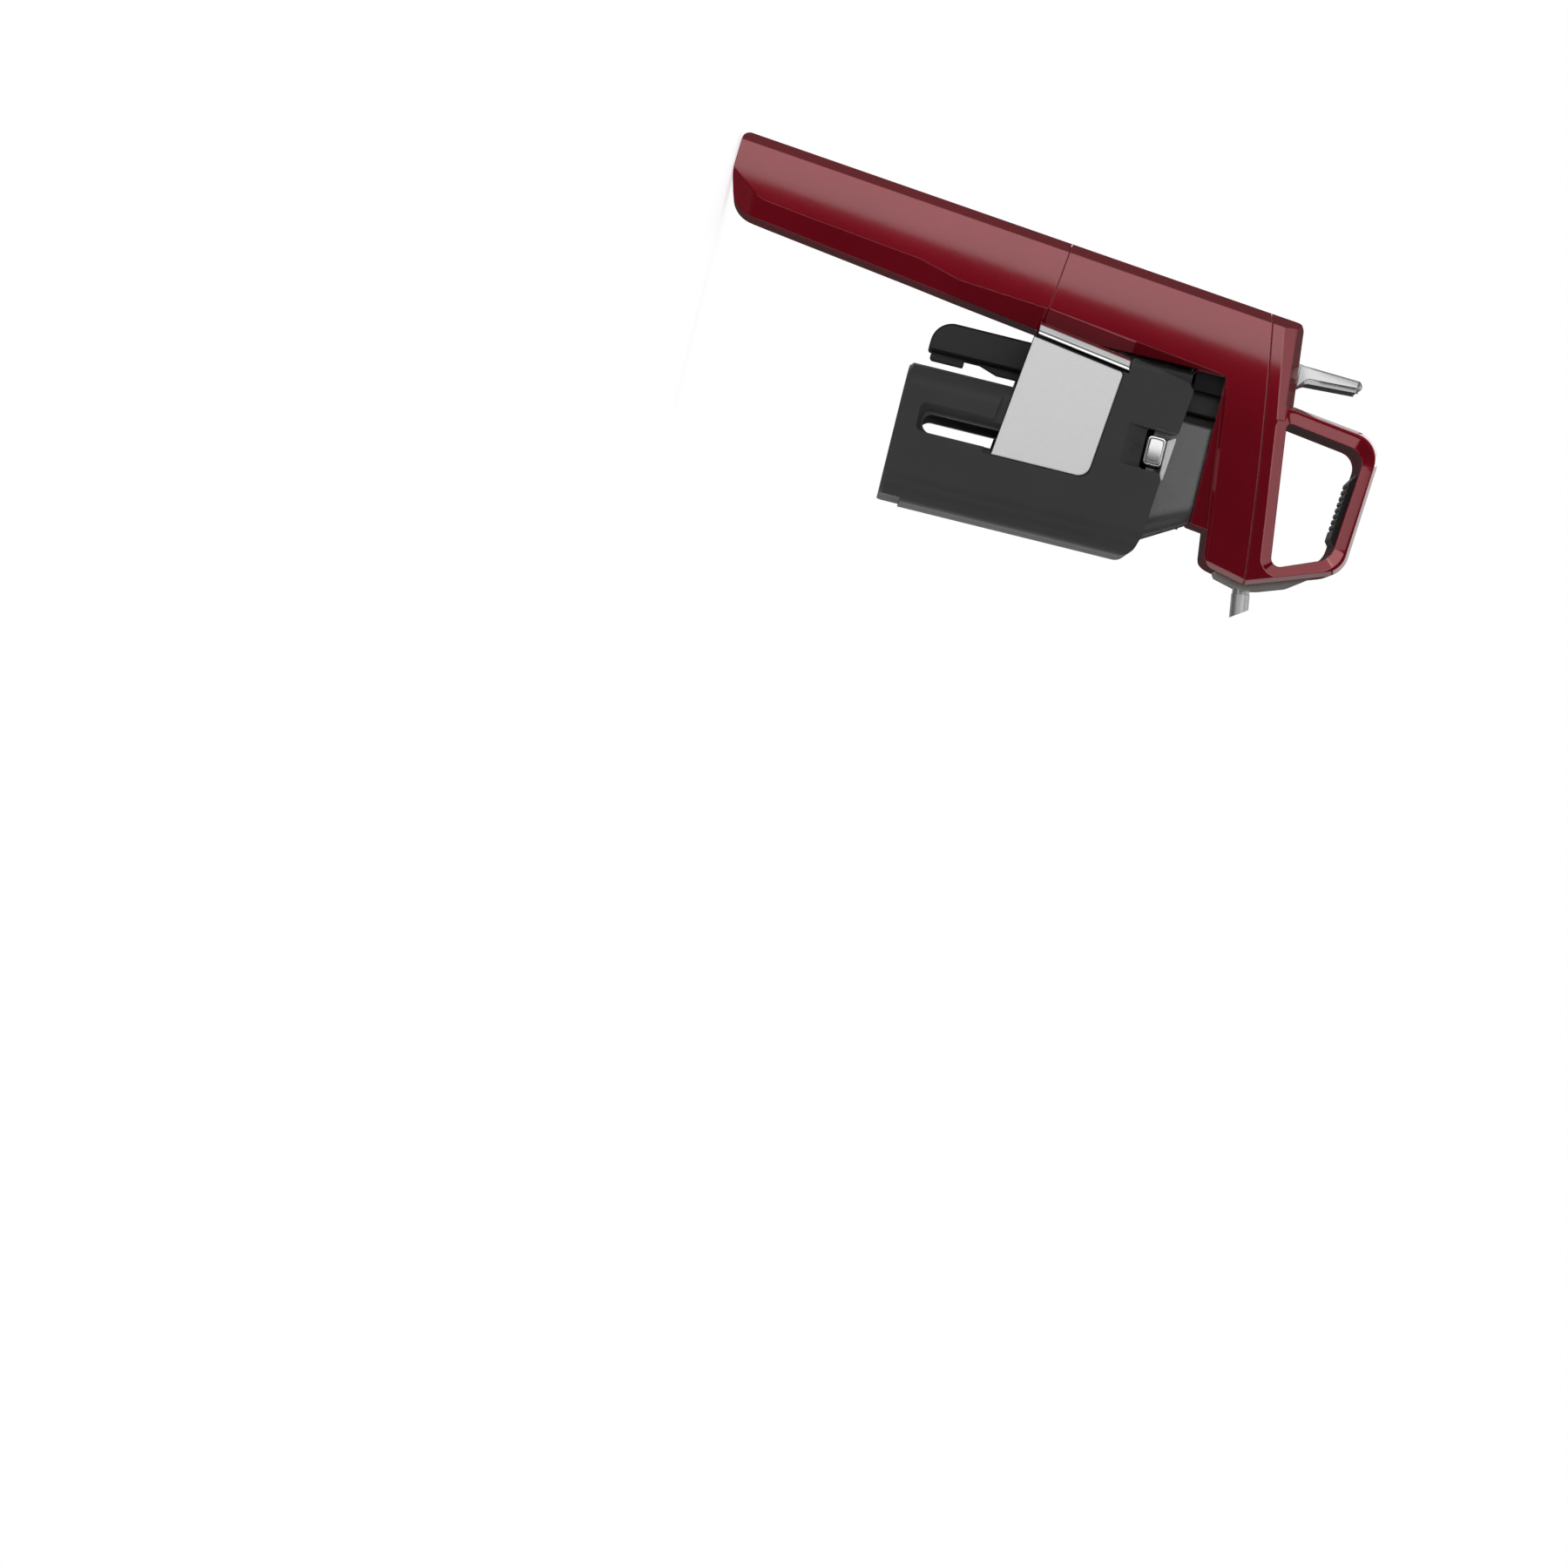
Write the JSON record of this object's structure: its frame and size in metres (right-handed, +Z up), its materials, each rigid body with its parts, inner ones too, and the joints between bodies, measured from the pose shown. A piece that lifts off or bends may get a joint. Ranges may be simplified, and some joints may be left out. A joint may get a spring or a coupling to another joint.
{
  "type": "wine preservation dispenser",
  "caption": "Wine preservation dispenser: a clamp seats on a bottle, a hollow needle slides down through it, and gas from a capsule in the arm drives wine out of the spout.",
  "frame": {"origin": "centre of the bottle mouth, in the plane where it meets the clamp seat, on the needle axis", "axes": "+Z up along the needle, +X towards the spout, +Y to the left side, symmetry plane at Y = 0"},
  "size_m": [0.1135, 0.044, 0.2228],
  "materials": {
    "burgundy_paint": "metallic burgundy paint on moulded plastic, gloss clear coat",
    "black_soft_touch": "fine soft-touch black",
    "black_nylon": "smooth moulded black",
    "black_frame": "smooth moulded black",
    "dark_grey_cover": "satin dark grey",
    "grey_trim": "satin grey",
    "grey_polymer": "plain moulded",
    "white_polymer": "smooth natural polymer",
    "black_rubber": "matt",
    "bright_chrome": "bright plate",
    "satin_chrome": "satin plate",
    "polished_steel": "polished stainless",
    "plain_steel": "plain stainless",
    "spring_steel": "drawn wire",
    "capsule_steel": "plated steel",
    "brass_metal": "machined"
  },
  "bodies": {
    "base": {"clamp_frame": "black_frame", "neck_cone": "dark_grey_cover", "needle_guide": "white_polymer", "mouth_seal": "black_rubber", "rail_glide_pads": "white_polymer", "side_band_left": "bright_chrome", "side_band_right": "bright_chrome", "jaw_hinge_pin_left": "plain_steel", "jaw_hinge_pin_right": "plain_steel", "jaw_spring_left": "spring_steel", "jaw_spring_right": "spring_steel", "button_spring_left": "spring_steel", "button_spring_right": "spring_steel", "button_trim_left": "bright_chrome", "button_trim_right": "bright_chrome"},
    "body": {"main_body": "burgundy_paint", "handle_housing": "burgundy_paint", "handle_grip_pad": "black_rubber", "spout_bezel": "grey_trim", "spout_tube": "polished_steel", "valve_block": "grey_polymer", "valve_spring": "spring_steel", "needle_hub": "plain_steel", "needle": "polished_steel", "trigger_pin": "plain_steel", "trigger_spring": "spring_steel", "guide_rail": "black_nylon", "rail_cam_strip": "black_nylon", "rail_screws": "plain_steel", "housing_screws": "plain_steel", "gas_tube": "white_polymer", "regulator_body": "brass_metal", "piercing_lance": "plain_steel", "capsule_seal": "black_rubber", "regulator_piston": "brass_metal", "regulator_spring": "spring_steel"},
    "trigger_lever": {"trigger": "bright_chrome"},
    "stem": {"valve_stem": "plain_steel", "valve_stem_seals": "black_rubber"},
    "capsule": {"gas_capsule": "capsule_steel"},
    "cup": {"capsule_cup": "burgundy_paint", "cup_liner": "brass_metal", "cup_cushion": "black_rubber"},
    "jaw_left": {"clamp_jaw_left": "black_soft_touch", "jaw_plate_left": "satin_chrome", "jaw_pads_left": "black_rubber"},
    "jaw_right": {"clamp_jaw_right": "black_soft_touch", "jaw_plate_right": "satin_chrome", "jaw_pads_right": "black_rubber"},
    "button_left": {"release_button_left": "bright_chrome"},
    "button_right": {"release_button_right": "bright_chrome"}
  },
  "joints": [
    {"name": "body_slide", "type": "slide", "parent": "base", "child": "body", "axis": [0, 0, 1], "range_m": [0, 0.06]},
    {"name": "trigger_pull", "type": "hinge", "parent": "body", "child": "trigger_lever", "pos_m": [-0.051, 0, 0.0305], "axis": [0, 1, 0], "range_deg": [0, 10], "stiffness_Nm_per_rad": 0.6, "springref_deg": -5.73},
    {"name": "valve_stem_slide", "type": "slide", "parent": "body", "child": "stem", "axis": [1, 0, 0], "range_m": [0, 0.0021]},
    {"name": "capsule_slide", "type": "slide", "parent": "body", "child": "capsule", "axis": [-0.1132, 0, -0.9936], "range_m": [0, 0.008]},
    {"name": "cup_turn", "type": "hinge", "parent": "capsule", "child": "cup", "pos_m": [-0.05736, 0, -0.0332], "axis": [-0.1132, 0, -0.9936], "range_deg": [0, 1441]},
    {"name": "jaw_left_hinge", "type": "hinge", "parent": "base", "child": "jaw_left", "pos_m": [-0.031, 0.0165, -0.01], "axis": [0, 0, 1], "range_deg": [0, 7]},
    {"name": "jaw_right_hinge", "type": "hinge", "parent": "base", "child": "jaw_right", "pos_m": [-0.031, -0.0165, -0.01], "axis": [0, 0, -1], "range_deg": [0, 7]},
    {"name": "button_left_press", "type": "slide", "parent": "base", "child": "button_left", "axis": [0, -1, 0], "range_m": [0, 0.0015], "stiffness_N_per_m": 400, "springref_m": -0.001},
    {"name": "button_right_press", "type": "slide", "parent": "base", "child": "button_right", "axis": [0, 1, 0], "range_m": [0, 0.0015], "stiffness_N_per_m": 400, "springref_m": -0.001}
  ],
  "couplings": [
    {"joint": "valve_stem_slide", "follows": "trigger_pull", "m_per_rad": 0.0115},
    {"joint": "cup_turn", "follows": "capsule_slide", "rad_per_m": 3141.6},
    {"joint": "jaw_left_hinge", "follows": "body_slide", "rad_per_m": 2.036},
    {"joint": "jaw_right_hinge", "follows": "body_slide", "rad_per_m": 2.036}
  ]
}
